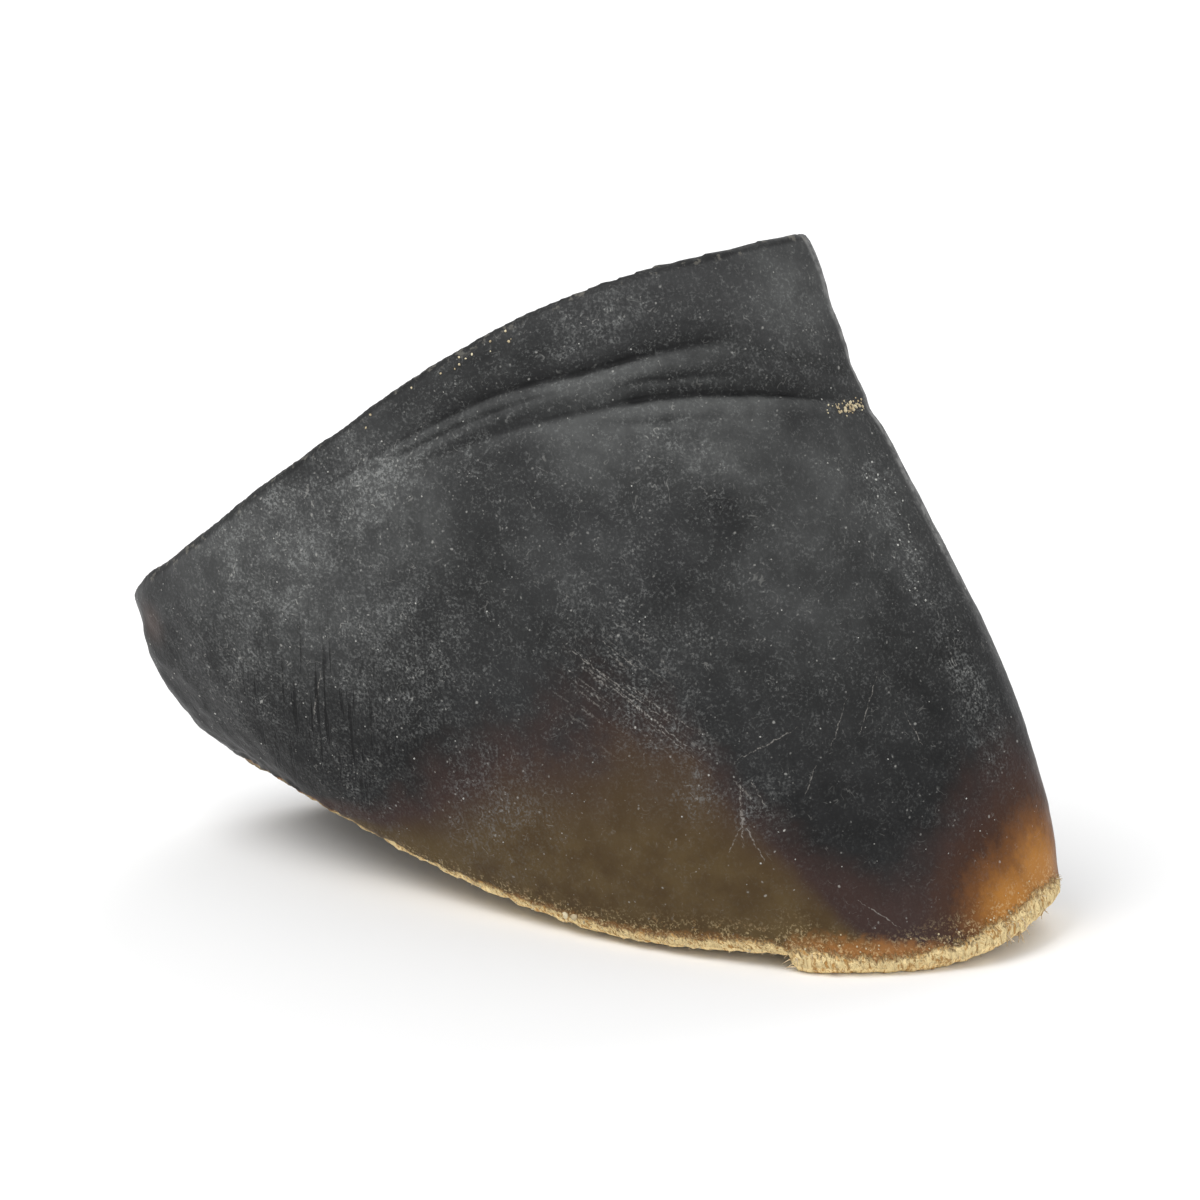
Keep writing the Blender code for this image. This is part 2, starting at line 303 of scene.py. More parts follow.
def measure(horn):
    """Where each vertex lies on the capsule: place on the wall, depth under its face, and region."""
    places, normals = vertex_places(horn)
    station, share = find_on_wall(places)
    ground, rim, _ = wall_ends(station)
    face, outward = wall_surface(station, share)
    length = np.linalg.norm(rim - ground, axis=1)
    depth = -((places - face) * outward).sum(1)
    inward = np.linalg.norm(places - face, axis=1)
    underside = smooth(share, 0.030, 0.004) * smooth(-normals[:, 2], 0.30, 0.75)
    inner = smooth(depth, WALL_DEPTH * 0.6, WALL_DEPTH * 1.3) * smooth(share, 0.03, 0.06)
    inner = np.maximum(inner, smooth(inward, 0.0020, 0.0035) * smooth(normals[:, 2], -0.25, 0.10))
    at_front = smooth(from_ridge(station) / RING_TURN)
    ring = LOWEST_RING_AT_RIDGE + (LOWEST_RING_AT_FRONT - LOWEST_RING_AT_RIDGE) * at_front
    beside_ridge = RIDGE_DUST * smooth(np.abs(station - RIDGE_DUST_STATION), 0.42, 0.08)
    beside_ridge *= smooth(share, 0.15, 0.30) * smooth(share, 0.72, 0.64)
    return {
        "station": station,
        "share": share,
        "foot": ground,
        "rise": share * length,
        "drop": (1.0 - share) * length,
        "growth": (share - ring) * length,
        "inner": inner,
        "underside": underside,
        "inward": inward,
        "outer_side": smooth(station, -0.2, 0.2) * smooth(station, 8.4, 7.6) + smooth(station, 15.7, 16.0),
        "band": read_table(PALE_BAND, station),
        "honey": read_table(HONEY_ZONE, station),
        "brown": read_table(BROWN_ZONE, station),
        "olive": read_table(OLIVE_ZONE, station),
        # The pale ridge line: pale dust with a painted rim highlight.
        "ridge": smooth(np.abs(np.mod(station + 1.0, STATION_COUNT) - RIDGE_LINE_STATION - 1.0), 0.20, 0.03),
        "blotch": strongest_spot(places, BLOTCHES),
        "amber": np.minimum.reduce([distance(places, centre) / radius for centre, radius in AMBER_PLACES]),
        "haze_and_sheen": strongest_spot(places, HAZE_AND_SHEEN_SPOTS),
        "dusty": np.maximum.reduce([strongest_spot(places, DUSTY), trail(places, *DUST_TRAIL), beside_ridge]),
        "wrinkled": strongest_spot(places, (WRINKLED,)),
        "scuffed": strongest_spot(places, SCUFFED),
        "heel_brown": strongest_spot(places, (HEEL_BROWN,)),
        "hollow_rust": strongest_spot(places, (HOLLOW_RUST,)),
    }


def write_attributes(horn, field):
    """Keeps on the mesh what the materials read: measures, regions, groove lines and the wall's foot."""
    for name in FACE_MEASURES:
        layer = horn.data.attributes.new(name, "FLOAT", "POINT")
        layer.data.foreach_set("value", field[name].astype(np.float32))
    for name, number in CRISP_GROOVES:
        path, strength = GROOVES[number][:2]
        away = (field["share"] - read_table(path, field["station"])) * (field["rise"] + field["drop"])
        mark = np.column_stack([away, read_table(strength, field["station"]), np.zeros(len(away))])
        layer = horn.data.attributes.new(name, "FLOAT_VECTOR", "POINT")
        layer.data.foreach_set("vector", mark.astype(np.float32).ravel())
    layer = horn.data.attributes.new("foot", "FLOAT_VECTOR", "POINT")
    layer.data.foreach_set("vector", field["foot"].astype(np.float32).ravel())


def weight_group(piece, name, weights):
    """A vertex group that holds a region's weights in even steps."""
    group = piece.vertex_groups.new(name=name)
    levels = np.round(np.clip(weights, 0.0, 1.0) * WEIGHT_STEPS).astype(int)
    for level in range(1, WEIGHT_STEPS + 1):
        members = np.flatnonzero(levels == level)
        if len(members):
            group.add(members.tolist(), level / WEIGHT_STEPS, "REPLACE")


def relief(horn, name, weights, height, grain=None, middle=0.5, depth=2, direction="NORMAL"):
    """Raises or sinks a region by a grain of that size, or evenly where there is no grain."""
    weight_group(horn, name, weights)
    settings = {"vertex_group": name, "strength": height, "mid_level": middle, "direction": direction}
    if grain:
        texture = bpy.data.textures.new(name, "CLOUDS")
        texture.noise_scale, texture.noise_depth = grain, depth
        settings.update(texture=texture, texture_coords="LOCAL")
    apply_modifier(horn, name, "DISPLACE", **settings)
    horn.vertex_groups.remove(horn.vertex_groups[name])


def press_flat(horn):
    """Presses what the reliefs pushed below the ground back up to it."""
    only(horn)
    bpy.ops.object.mode_set(mode="EDIT")
    bpy.ops.mesh.select_mode(type="VERT")
    bpy.ops.mesh.select_all(action="DESELECT")
    bpy.ops.object.mode_set(mode="OBJECT")
    horn.data.vertices.foreach_set("select", vertex_places(horn)[0][:, 2] < 0.0)
    bpy.ops.object.mode_set(mode="EDIT")
    bpy.ops.transform.resize(value=(1.0, 1.0, 0.0), center_override=(0.0, 0.0, 0.0))
    bpy.ops.object.mode_set(mode="OBJECT")


def carve(horn, field):
    """Lumps, chips, frays and flakes of the real surface."""
    station, rise = field["station"], field["rise"]
    inner, underside = field["inner"], field["underside"]
    wall = (1.0 - inner) * (1.0 - underside) * smooth(rise, 0.001, 0.006)
    heel = smooth(np.abs(station - HEEL_STATION), 2.4, 0.6) * (1.0 - inner)
    near_edge = smooth(rise, 0.0030, 0.0004) * (1.0 - inner)
    on_lip = near_edge * smooth(station, LIP_BREAK_STATION + 0.04, LIP_BREAK_STATION - 0.04)
    on_lip *= smooth(station, 0.0, 0.3)
    behind_lip = smooth(rise, 0.0065, 0.0002) * (1.0 - inner)
    behind_lip *= smooth(station, LIP_BREAK_STATION - 0.03, LIP_BREAK_STATION + 0.05)
    behind_lip *= smooth(station, LAST_CHIP_STATION, LIP_BREAK_STATION)
    rim = smooth(field["drop"], 0.0025, 0.0003)
    relief(horn, "wall swell", wall, 0.00070, grain=0.016, middle=0.3)
    relief(horn, "wall dents", wall, 0.00022, grain=0.0040)
    relief(horn, "grooves", field["groove"], -GROOVE_DEPTH, middle=0.0)
    relief(horn, "heel waves", heel, 0.00120, grain=0.0075)
    relief(horn, "heel flakes", heel * smooth(rise, 0.012, 0.002), 0.00060, grain=0.0020)
    relief(horn, "lip", on_lip, 0.00055, middle=0.0)
    relief(horn, "chipped edge", behind_lip, 0.00110, middle=0.0, direction="Z")
    relief(horn, "torn edge", near_edge, 0.00085, grain=0.0013, depth=3)
    relief(horn, "rim wear", rim, 0.00012, grain=0.0060)
    relief(horn, "hollow swell", inner, 0.00100, grain=0.0100)
    relief(horn, "hollow grain", inner, 0.00030, grain=0.0022)
    sole = underside * smooth(field["inward"], 0.0005, 0.0030)
    relief(horn, "sole flakes", sole, 0.00150, grain=0.0060, middle=0.85, depth=4)
    relief(horn, "sole crumble", sole, 0.00050, grain=0.0016, middle=0.85)
    press_flat(horn)


class Sheet:
    """Lays out the nodes of one material or node group."""

    def __init__(self, tree):
        self.tree = tree

    def node(self, kind, **settings):
        made = self.tree.nodes.new(kind)
        for key, value in settings.items():
            setattr(made, key, value)
        return made

    def feed(self, socket, value):
        if isinstance(value, bpy.types.NodeSocket):
            self.tree.links.new(value, socket)
        else:
            socket.default_value = value

    def math(self, operation, first, second=0.0, third=0.0, clamp=False):
        made = self.node("ShaderNodeMath", operation=operation, use_clamp=clamp)
        for socket, value in zip(made.inputs, (first, second, third)):
            self.feed(socket, value)
        return made.outputs[0]

    def times(self, *values):
        product = values[0]
        for value in values[1:]:
            product = self.math("MULTIPLY", product, value)
        return product

    def lift(self, value, scale, offset):
        """A value times a scale, plus an offset."""
        return self.math("MULTIPLY_ADD", value, scale, offset)

    def parts(self, vector):
        made = self.node("ShaderNodeSeparateXYZ")
        self.feed(made.inputs[0], vector)
        return made.outputs

    def vector(self, operation, first, second=(0.0, 0.0, 0.0)):
        made = self.node("ShaderNodeVectorMath", operation=operation)
        self.feed(made.inputs[0], first)
        self.feed(made.inputs[1], second)
        return made.outputs["Value" if operation in ("DISTANCE", "LENGTH", "DOT_PRODUCT") else "Vector"]

    def span(self, value, low, high, to_low=0.0, to_high=1.0):
        """An even curve from to_low at low to to_high at high."""
        made = self.node("ShaderNodeMapRange", interpolation_type="SMOOTHSTEP")
        for name, given in zip(("Value", "From Min", "From Max", "To Min", "To Max"),
                               (value, low, high, to_low, to_high)):
            self.feed(made.inputs[name], given)
        return made.outputs["Result"]

    def noise(self, place, scale, detail=2.0, roughness=0.5, distortion=0.0):
        made = self.node("ShaderNodeTexNoise")
        for name, given in (("Vector", place), ("Scale", scale), ("Detail", detail),
                            ("Roughness", roughness), ("Distortion", distortion)):
            self.feed(made.inputs[name], given)
        return made.outputs["Fac"]

    def cells(self, place, scale, feature="F1"):
        made = self.node("ShaderNodeTexVoronoi", feature=feature)
        self.feed(made.inputs["Vector"], place)
        self.feed(made.inputs["Scale"], scale)
        return made

    def blend(self, share, first, second):
        """The first colour, covered by the second by that share."""
        made = self.node("ShaderNodeMix", data_type="RGBA")
        self.feed(made.inputs[0], share)
        self.feed(made.inputs[6], first)
        self.feed(made.inputs[7], second)
        return made.outputs[2]

    def attribute(self, name, output="Fac"):
        return self.node("ShaderNodeAttribute", attribute_name=name).outputs[output]

    def combine(self, x, y, z):
        made = self.node("ShaderNodeCombineXYZ")
        for socket, value in zip(made.inputs, (x, y, z)):
            self.feed(socket, value)
        return made.outputs[0]

    def group(self, tree, **given):
        made = self.node("ShaderNodeGroup", node_tree=tree)
        for name, value in given.items():
            self.feed(made.inputs[name], value)
        return made.outputs[0]


def new_group(name, inputs, output):
    """A node group with named inputs and one output, with its sheet and its two end nodes."""
    tree = bpy.data.node_groups.new(name, "ShaderNodeTree")
    for label, kind in inputs:
        tree.interface.new_socket(label, in_out="INPUT", socket_type=kind)
    tree.interface.new_socket(output, in_out="OUTPUT", socket_type="NodeSocketFloat")
    sheet = Sheet(tree)
    return tree, sheet, sheet.node("NodeGroupInput").outputs, sheet.node("NodeGroupOutput").inputs[0]


def scratch_group():
    """A fine line between two points on the wall, thinning out at its ends."""
    inputs = (("Place", "NodeSocketVector"), ("From", "NodeSocketVector"), ("To", "NodeSocketVector"),
              ("Width", "NodeSocketFloat"))
    tree, sheet, given, out = new_group("scratch", inputs, "Line")
    run = sheet.vector("SUBTRACT", given["To"], given["From"])
    here = sheet.vector("SUBTRACT", given["Place"], given["From"])
    gone, whole = sheet.vector("DOT_PRODUCT", here, run), sheet.vector("DOT_PRODUCT", run, run)
    part = sheet.math("DIVIDE", gone, whole, clamp=True)
    scaled = sheet.node("ShaderNodeVectorMath", operation="SCALE")
    sheet.feed(scaled.inputs[0], run)
    sheet.feed(scaled.inputs["Scale"], part)
    away = sheet.vector("DISTANCE", here, scaled.outputs["Vector"])
    swell = sheet.math("SINE", sheet.lift(part, SCRATCH_SWELL, SCRATCH_TIP))
    taper = sheet.math("MULTIPLY", given["Width"], swell)
    sheet.feed(out, sheet.span(sheet.math("DIVIDE", away, taper), 1.0, 0.3))
    return tree


def speck_group():
    """Scattered grains: one in some of the cells, of varied size."""
    inputs = (("Place", "NodeSocketVector"), ("Scale", "NodeSocketFloat"), ("Size", "NodeSocketFloat"),
              ("Share", "NodeSocketFloat"))
    tree, sheet, given, out = new_group("specks", inputs, "Grains")
    cells = sheet.cells(given["Place"], given["Scale"])
    chance = sheet.node("ShaderNodeSeparateColor")
    sheet.feed(chance.inputs[0], cells.outputs["Color"])
    size = sheet.math("MULTIPLY", given["Size"], sheet.math("MULTIPLY_ADD", chance.outputs[1], 0.8, 0.4))
    grain = sheet.span(sheet.math("DIVIDE", cells.outputs["Distance"], size), 1.0, 0.45)
    sheet.feed(out, sheet.math("MULTIPLY", grain, sheet.math("LESS_THAN", chance.outputs[0], given["Share"])))
    return tree


# A scratch's width runs through nearly half a sine wave, and starts this far into it.
SCRATCH_SWELL, SCRATCH_TIP = 2.8, 0.17
GROUPS = {"scratch": scratch_group(), "specks": speck_group()}

# Places on the outer wall, in metres: centre, radius, strength.
# Grey film spots, partly a painted sheen near the toe's top corner and along the ridge.
HAZE_AND_SHEEN_SPOTS = (
    ((-0.034, -0.011, 0.030), 0.030, 1.00), ((-0.018, -0.012, 0.046), 0.018, 0.70),
    ((0.006, -0.012, 0.056), 0.014, 0.85), ((0.018, -0.011, 0.055), 0.013, 0.85),
    ((0.028, -0.003, 0.052), 0.010, 0.60), ((0.022, 0.000, 0.069), 0.013, 0.75),
    ((0.034, -0.003, 0.046), 0.014, 0.55), ((0.002, -0.016, 0.040), 0.020, 0.35),
    ((0.026, -0.014, 0.047), 0.007, 0.60), ((0.028, -0.014, 0.040), 0.020, 0.48),
    ((0.028, -0.008, 0.049), 0.015, 0.66), ((-0.042, -0.005, 0.020), 0.016, 1.00),
    ((-0.006, -0.010, 0.064), 0.012, 0.25),
)
DUSTY = (
    ((-0.022, -0.012, 0.047), 0.011, 0.95), ((-0.030, -0.009, 0.043), 0.006, 1.00),
    ((-0.017, -0.0125, 0.0505), 0.0045, 1.30), ((-0.012, -0.013, 0.053), 0.009, 0.70),
    ((-0.032, -0.011, 0.038), 0.018, 0.95), ((-0.038, -0.009, 0.024), 0.018, 0.68),
    ((-0.020, -0.014, 0.030), 0.022, 0.65), ((-0.024, -0.011, 0.014), 0.013, 0.48),
    ((0.0325, -0.0025, 0.0485), 0.006, 0.85), ((0.008, -0.017, 0.036), 0.015, 0.45),
    ((0.013, -0.019, 0.027), 0.009, 0.60), ((0.040, -0.013, 0.016), 0.012, 0.14),
    ((0.022, -0.003, 0.066), 0.014, 0.30), ((0.004, -0.010, 0.066), 0.014, 0.55),
    ((0.014, -0.013, 0.054), 0.012, 0.50), ((0.024, -0.019, 0.018), 0.006, 0.60),
    ((-0.006, -0.016, 0.014), 0.014, 0.50), ((0.018, -0.020, 0.0200), 0.008, 0.50),
)
# A woolly trail of dust: both ends, radius, strength.
DUST_TRAIL = (np.array([-0.0370, -0.0090, 0.0420]), np.array([-0.0165, -0.0124, 0.0509]), 0.0034, 1.60)
BLOTCHES = (
    ((0.0184, -0.0137, 0.0487), 0.0042, 0.9), ((0.0130, -0.0165, 0.0420), 0.0040, 0.4),
    ((0.006, -0.018, 0.028), 0.014, 0.5),
)
WRINKLED = ((-0.027, -0.012, 0.021), 0.017, 1.0)
SCUFFED = (((0.0085, -0.018, 0.0290), 0.0100, 1.0), ((0.0150, -0.018, 0.0255), 0.0060, 0.8))
HEEL_BROWN = ((-0.0505, -0.0025, 0.0262), 0.0040, 0.40)
HOLLOW_RUST = ((-0.044, 0.006, 0.024), 0.022, 1.0)
# Amber patches at the toe, whose brightest part is a painted glow of light shining through the horn.
AMBER_PLACES = (((0.0526, -0.0045, 0.0080), 0.0124), ((0.0500, -0.0092, 0.0050), 0.0122))

# Scale, size and share of the cells with a speck, on bare horn and added by dust, and strength.
SPECKS = ((2600.0, 0.36, 0.02, 0.26, 0.26), (1300.0, 0.24, 0.03, 0.18, 0.42), (480.0, 0.09, 0.06, 0.14, 0.75))

# Single scratches on the outer wall: x and z of both ends, and half width.
SCRATCHES = (
    (0.0020, 0.0335, 0.0145, 0.0262, 0.00012), (0.0035, 0.0330, 0.0158, 0.0240, 0.00010),
    (0.0052, 0.0312, 0.0172, 0.0232, 0.00010), (0.0090, 0.0300, 0.0180, 0.0250, 0.00008),
    (0.0110, 0.0268, 0.0180, 0.0220, 0.00009), (0.0060, 0.0345, 0.0120, 0.0310, 0.00008),
    (0.0215, 0.0225, 0.0280, 0.0262, 0.00010), (0.0312, 0.0235, 0.0325, 0.0290, 0.00007),
    (0.0340, 0.0250, 0.0352, 0.0312, 0.00007), (0.0290, 0.0190, 0.0300, 0.0222, 0.00009),
    (0.0380, 0.0270, 0.0402, 0.0232, 0.00008), (0.0222, 0.0200, 0.0228, 0.0140, 0.00024),
    (0.0228, 0.0160, 0.0252, 0.0118, 0.00012), (0.0226, 0.0158, 0.0212, 0.0125, 0.00011),
    (0.0215, 0.0205, 0.0235, 0.0185, 0.00019), (0.0232, 0.0208, 0.0250, 0.0178, 0.00010),
    (-0.0265, 0.0262, -0.0282, 0.0190, 0.00012), (0.0350, 0.0080, 0.0395, 0.0050, 0.00008),
)

# Loose grains: stations, shares of the wall's height, how many and how large.
DUST_ZONES = (
    (0.2, 8.0, 0.08, 0.97, 130, 0.00009), (0.55, 1.0, 0.45, 0.72, 30, 0.00011),
    (8.5, 15.8, 0.05, 0.95, 90, 0.00012),
)
CRUMB_ZONES = (
    (0.35, 0.90, 0.744, 0.766, 34, 0.00013), (0.45, 0.80, 0.750, 0.760, 22, 0.00019),
    (0.80, 1.10, 0.756, 0.768, 8, 0.00014), (0.3, 3.2, 0.005, 0.060, 46, 0.00011),
    (3.2, 6.0, 0.002, 0.030, 60, 0.00012), (4.68, 4.82, 0.022, 0.036, 4, 0.00038),
    (3.6, 5.2, 0.975, 0.995, 14, 0.00014),
)
# Fibres on the ground edge: stations, how many and how long.
FIBRE_ZONES = (
    (0.15, 1.05, 22, 0.0009), (1.05, 1.20, 9, 0.0018), (1.30, 1.42, 7, 0.0014), (1.20, 3.05, 60, 0.0006),
    (3.02, 3.26, 16, 0.0011), (3.26, 5.80, 60, 0.0006), (13.0, 15.95, 24, 0.0008),
)
LONG_FIBRE = 0.0012
# One fibre, a unit long: radius of its foot, taper of each step, number of steps and bend in radians.
FIBRE_RADIUS, FIBRE_TAPER, FIBRE_STEPS, FIBRE_CURL = 0.115, 0.64, 3, 0.56
# In metres: how deep a fibre roots, its widest scale, and how far its tip stays over the floor.
FIBRE_ROOT, WIDEST_FIBRE, FLOOR_GAP = 0.0001, 0.0009, 0.0002
# How uneven a grain is, and how far its middle stands out of the skin, by its size.
GRAIN_ROUGHNESS, GRAIN_LIFT = 0.22, 0.2

# How much the upright strands of the wall and the fibres of its edge are drawn out.
STRAND_STRETCH, FIBRE_STRETCH = 0.06, 0.60
HORN_SHEEN = 0.13
MILLIMETRE = 0.001
# How far growth lines are drawn out along the wall.
LINE_STRETCH = 0.05

BLACK = (0.0046, 0.0046, 0.0050, 1.0)
CHARCOAL = (0.0165, 0.0167, 0.0175, 1.0)
LINE_GREY = (0.038, 0.038, 0.039, 1.0)
HAZE_AND_SHEEN_GREY = (0.119, 0.1225, 0.1205, 1.0)
DUST_GREY = (0.204, 0.209, 0.204, 1.0)
SPECK_GREY = (0.49, 0.485, 0.455, 1.0)
SCRATCH_GREY = (0.36, 0.34, 0.31, 1.0)
RIDGE_DUST_AND_HIGHLIGHT_GREY = (0.26, 0.26, 0.255, 1.0)
CRUST = (0.24, 0.225, 0.19, 1.0)
OLIVE = (0.064, 0.039, 0.014, 1.0)
OLIVE_PALE = (0.092, 0.060, 0.022, 1.0)
FRINGE = (0.042, 0.022, 0.018, 1.0)
AMBER_WITH_PAINTED_GLOW = (0.400, 0.170, 0.032, 1.0)
AMBER_DEEP = (0.160, 0.062, 0.016, 1.0)
RUST = (0.050, 0.021, 0.011, 1.0)
CREAM = (0.940, 0.740, 0.390, 1.0)
CREAM_SHADE = (0.500, 0.270, 0.085, 1.0)
HONEY = (0.310, 0.132, 0.036, 1.0)
HEEL_TIP_BROWN = (0.100, 0.052, 0.036, 1.0)
HOLLOW_BROWN = (0.100, 0.066, 0.040, 1.0)
HOLLOW_TAN = (0.300, 0.215, 0.125, 1.0)
HOLLOW_DARK = (0.022, 0.017, 0.014, 1.0)
HOLLOW_RIM = (0.36, 0.30, 0.21, 1.0)
SOLE_GREY = (0.130, 0.105, 0.075, 1.0)
SOLE_BEIGE = (0.340, 0.270, 0.180, 1.0)
SOLE_CRACK = (0.05, 0.038, 0.028, 1.0)
SOLE_HEEL = (0.050, 0.047, 0.043, 1.0)
FIBRE_TONES = ((0.44, 0.30, 0.15, 1.0), (0.74, 0.64, 0.47, 1.0))
DUST_TONES = ((0.26, 0.26, 0.24, 1.0), (0.56, 0.56, 0.53, 1.0))
CRUMB_TONES = ((0.40, 0.31, 0.18, 1.0), (0.72, 0.64, 0.44, 1.0))
FLOOR_TONES = ((0.88, 0.88, 0.88, 1.0), (0.90, 0.90, 0.90, 1.0))
WHITE = (1.0, 1.0, 1.0, 1.0)

FLOOR_SIZE, FLOOR_DROP, FLOOR_ROUGHNESS = 8.0, 0.00005, 0.9
AIR_LIGHT = 0.70
# Lamps: place and power, all of one size and turned to one point.
LAMPS = (
    ("key", (-0.55, -0.35, 1.05), 9.0),
    ("fill", (0.95, -0.85, 0.55), 3.0),
    ("back", (0.15, 0.95, 0.75), 5.0),
)
LAMP_SIZE, LAMP_AIM = 0.9, Vector((0.0, 0.0, 0.03))
CAMERA_AIM, CAMERA_AWAY = Vector((-0.0001, 0.0064, 0.0306)), 0.630
CAMERA_TURN, CAMERA_TILT = math.radians(15.0), math.radians(18.0)
LENS, SENSOR = 171.0, 36.0
NEAREST, FARTHEST = 0.01, 50.0


def new_material(name, layout=Sheet):
    material = bpy.data.materials.new(name)
    material.use_nodes = True
    shader = material.node_tree.nodes["Principled BSDF"]
    return material, layout(material.node_tree), shader


class HornSheet(Sheet):
    """A sheet for one face of the capsule, with the measures and grains that its effects share."""

    def __init__(self, tree):
        super().__init__(tree)
        self.place = self.node("ShaderNodeTexCoord").outputs["Object"]
        self.x, _, self.z = self.parts(self.place)
        self.foot_x, self.foot_y, _ = self.parts(self.attribute("foot", "Vector"))
        self.rise, self.drop = self.attribute("rise"), self.attribute("drop")
        self.patchy = self.noise(self.place, 260.0, 4.0, 0.6)
        self.mottle = self.noise(self.place, 900.0, 3.0, 0.65)

    def along_wall(self, stretch):
        """Places squeezed up the wall, so that a noise on them runs in upright strands."""
        return self.combine(self.foot_x, self.foot_y, self.math("MULTIPLY", self.rise, stretch))

    def zone(self, height, noise, swing):
        """Height over the ground edge as a share of a zone's height, made uneven by a noise."""
        share = self.math("DIVIDE", self.rise, self.attribute(height))
        return self.math("ADD", share, self.lift(noise, swing, -0.5 * swing))

    def cream(self, fibres):
        return self.blend(self.span(fibres, 0.36, 0.52), CREAM_SHADE, CREAM)

    def bump(self, shader, reliefs):
        """Relief finer than the mesh, in millimetres."""
        height = 0.0
        for value, amount in reliefs:
            height = self.math("ADD", height, self.math("MULTIPLY", value, amount))
        bump = self.node("ShaderNodeBump")
        bump.inputs["Strength"].default_value = 1.0
        bump.inputs["Distance"].default_value = MILLIMETRE
        self.feed(bump.inputs["Height"], height)
        self.feed(shader.inputs["Normal"], bump.outputs[0])


class WallSheet(HornSheet):
    """The outside of the capsule, laid out one effect over the other."""

    def __init__(self, tree):
        super().__init__(tree)
        growth = self.attribute("growth")
        self.outer_side = self.attribute("outer_side")
        self.near_top = self.span(growth, -0.004, 0.006)
        # Painted shade: film and dust are thinned towards the ground edge, so the lower wall reads darker.
        self.low = self.span(self.rise, 0.010, 0.042, 0.08, 1.0)
        round_wall = (self.math("MULTIPLY", foot, LINE_STRETCH) for foot in (self.foot_x, self.foot_y))
        layers = self.combine(growth, *round_wall)
        self.broad = self.noise(self.place, 75.0, 3.0)
        self.grain = self.noise(self.place, 3200.0, 2.0, 0.7)
        self.strands = self.noise(self.along_wall(STRAND_STRETCH), 1900.0, 2.0, 0.6)
        self.wide_strands = self.noise(self.along_wall(STRAND_STRETCH), 520.0, 2.0, 0.5)
        self.fibres = self.noise(self.along_wall(FIBRE_STRETCH), 2100.0, 3.0, 0.7, 1.0)
        self.wide_lines = self.noise(layers, 330.0, 2.0, 0.5)
        wander = self.node("ShaderNodeTexNoise")
        self.feed(wander.inputs["Vector"], self.place)
        self.feed(wander.inputs["Scale"], 1500.0)
        self.feed(wander.inputs["Detail"], 1.0)
        self.shake = self.vector("SUBTRACT", wander.outputs["Color"], (0.5, 0.5, 0.5))

    def bare_horn(self):
        """Black horn with fine growth lines near the top and upright strands, blacker towards the ground edge
        as painted shade.
        """
        # Painted shade: charcoal gives way to black towards the ground edge.
        bare = self.times(self.span(self.broad, 0.35, 0.65), self.span(self.rise, 0.010, 0.045, 0.35, 1.0))
        colour = self.blend(bare, BLACK, CHARCOAL)
        lines = self.times(self.span(self.wide_lines, 0.40, 0.62), self.lift(self.near_top, 0.45, 0.08))
        colour = self.blend(lines, colour, LINE_GREY)
        strands = self.span(self.wide_strands, 0.46, 0.60)
        strands = self.times(strands, self.lift(self.outer_side, -0.38, 0.45))
        return self.blend(strands, colour, LINE_GREY)

    def clear_zones(self, colour):
        """The horn clears to brown, olive and amber towards the ground; the brightest amber at the toe also
        paints the glow of light shining through the horn.
        """
        waver = self.math("ADD", self.lift(self.patchy, 0.50, -0.25), self.lift(self.broad, 0.40, -0.20))
        brown = self.math("ADD", self.math("DIVIDE", self.rise, self.attribute("brown")), waver)
        colour = self.blend(self.span(brown, 1.15, 0.60, 0.0, 0.9), colour, FRINGE)
        olive = self.math("ADD", self.math("DIVIDE", self.rise, self.attribute("olive")), waver)
        olive_tone = self.blend(self.span(self.patchy, 0.3, 0.7), OLIVE, OLIVE_PALE)
        colour = self.blend(self.span(olive, 1.20, 0.55, 0.0, 0.92), colour, olive_tone)
        amber = self.math("ADD", self.attribute("amber"), self.lift(self.mottle, 0.25, -0.125))
        colour = self.blend(self.span(amber, 1.0, 0.60), colour, RUST)
        colour = self.blend(self.span(amber, 0.70, 0.40), colour, AMBER_DEEP)
        # Painted glow: the bright amber stands in for light shining through the thin horn.
        return self.blend(self.span(amber, 0.48, 0.12), colour, AMBER_WITH_PAINTED_GLOW)

    def pale_edge(self, colour):
        """Cream fibres on the ground edge, honey above them and cream crumbs strewn over both."""
        band = self.math("ADD", self.zone("band", self.fibres, 1.3), self.lift(self.mottle, 0.9, -0.45))
        honey = self.span(self.zone("honey", self.mottle, 0.8), 1.15, 0.60, 0.0, 0.85)
        colour = self.blend(honey, colour, HONEY)
        edge = self.span(band, 1.10, 0.70)
        strewn = self.times(self.span(self.grain, 0.48, 0.62), self.span(self.mottle, 0.40, 0.58))
        strewn = self.times(strewn, self.span(band, 2.6, 0.9, 0.0, 0.42))
        return self.blend(self.math("MAXIMUM", edge, strewn), colour, self.cream(self.fibres)), edge

    def weathering(self, colour):
        """Dark grooves with smooth ledges, grey film, powder and specks; the grey on the ledges and near the
        toe's top is a painted sheen, and film and dust thin out towards the ground edge as painted shade.
        """
        groove, ledge = self.attribute("groove"), self.attribute("ledge")
        clean = self.math("SUBTRACT", 1.0, self.math("MULTIPLY", groove, 0.90))
        inner_side = self.math("SUBTRACT", 1.0, self.outer_side)
        # Painted shade: the film fades towards the ground edge.
        haze_and_sheen = self.times(self.math("MAXIMUM", self.attribute("haze_and_sheen"), 0.22), self.low)
        haze_and_sheen = self.times(haze_and_sheen, self.math("SUBTRACT", 1.0, self.attribute("blotch")))
        haze_and_sheen = self.math("MAXIMUM", haze_and_sheen, self.math("MULTIPLY", inner_side, 0.20))
        # Painted sheen: the smooth ledge under each groove is lightened with the grey film colour.
        haze_and_sheen = self.math("ADD", haze_and_sheen, self.math("MULTIPLY", ledge, 0.58))
        haze_and_sheen = self.math("MULTIPLY", haze_and_sheen, self.span(self.patchy, 0.33, 0.67, 0.72, 1.30), clamp=True)
        colour = self.blend(self.math("MULTIPLY", groove, 0.7), colour, BLACK)
        colour = self.blend(self.times(haze_and_sheen, clean, 0.62), colour, HAZE_AND_SHEEN_GREY)
